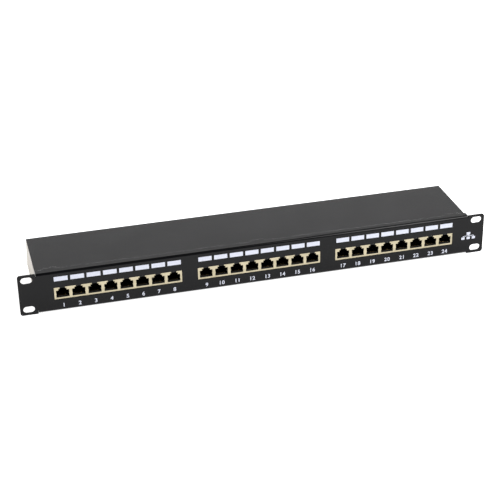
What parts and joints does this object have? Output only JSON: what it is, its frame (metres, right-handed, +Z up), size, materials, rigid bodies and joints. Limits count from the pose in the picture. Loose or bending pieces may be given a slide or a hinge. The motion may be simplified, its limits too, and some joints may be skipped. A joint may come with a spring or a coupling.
{
  "type": "patch panel",
  "caption": "One-unit rack patch panel: folded black steel face with slotted ears, shielded modular sockets on circuit boards in a zinc-plated tray, and a top cover that slides off.",
  "frame": {"origin": "centre of the rack slot pattern on the mounting plane, which is the back face of the ears", "axes": "+X along the panel to the right as seen from the front, +Y into the rack, +Z up; the sockets face -Y"},
  "size_m": [0.4826, 0.1016, 0.0436],
  "materials": {
    "black_powder_coat": "fine satin powder coat",
    "white_print": "matt white screen print",
    "zinc_steel": "satin zinc plate",
    "zinc_screws": "bright zinc plate",
    "nickel_brass": "nickel plate",
    "tinned_can": "matt tin plate",
    "black_nylon": "moulded, faintly grained",
    "gold_wires": "gold flash",
    "green_board": "solder mask",
    "white_strip": "moulded polycarbonate",
    "tinned_clips": "tin plate on bronze"
  },
  "bodies": {
    "chassis": {"front_panel": "black_powder_coat", "label_fields": "white_print", "tray": "zinc_steel", "board_pillars": "nickel_brass", "board_screws": "zinc_screws", "panel_screws": "zinc_screws", "earth_stud": "zinc_screws", "earth_washer": "zinc_screws", "earth_nut": "zinc_screws", "jack_shield_1": "tinned_can", "jack_housing_1": "black_nylon", "jack_contacts_1": "gold_wires", "circuit_board_1": "green_board", "idc_strip_1": "white_strip", "idc_clips_1": "tinned_clips", "jack_shield_2": "tinned_can", "jack_housing_2": "black_nylon", "jack_contacts_2": "gold_wires", "circuit_board_2": "green_board", "idc_strip_2": "white_strip", "idc_clips_2": "tinned_clips", "jack_shield_3": "tinned_can", "jack_housing_3": "black_nylon", "jack_contacts_3": "gold_wires", "circuit_board_3": "green_board", "idc_strip_3": "white_strip", "idc_clips_3": "tinned_clips"},
    "cover": {"top_cover": "black_powder_coat", "cover_screws": "zinc_screws"}
  },
  "joints": [
    {"name": "cover_slide", "type": "slide", "parent": "chassis", "child": "cover", "axis": [0, 1, 0], "range_m": [0, 0.07]}
  ]
}
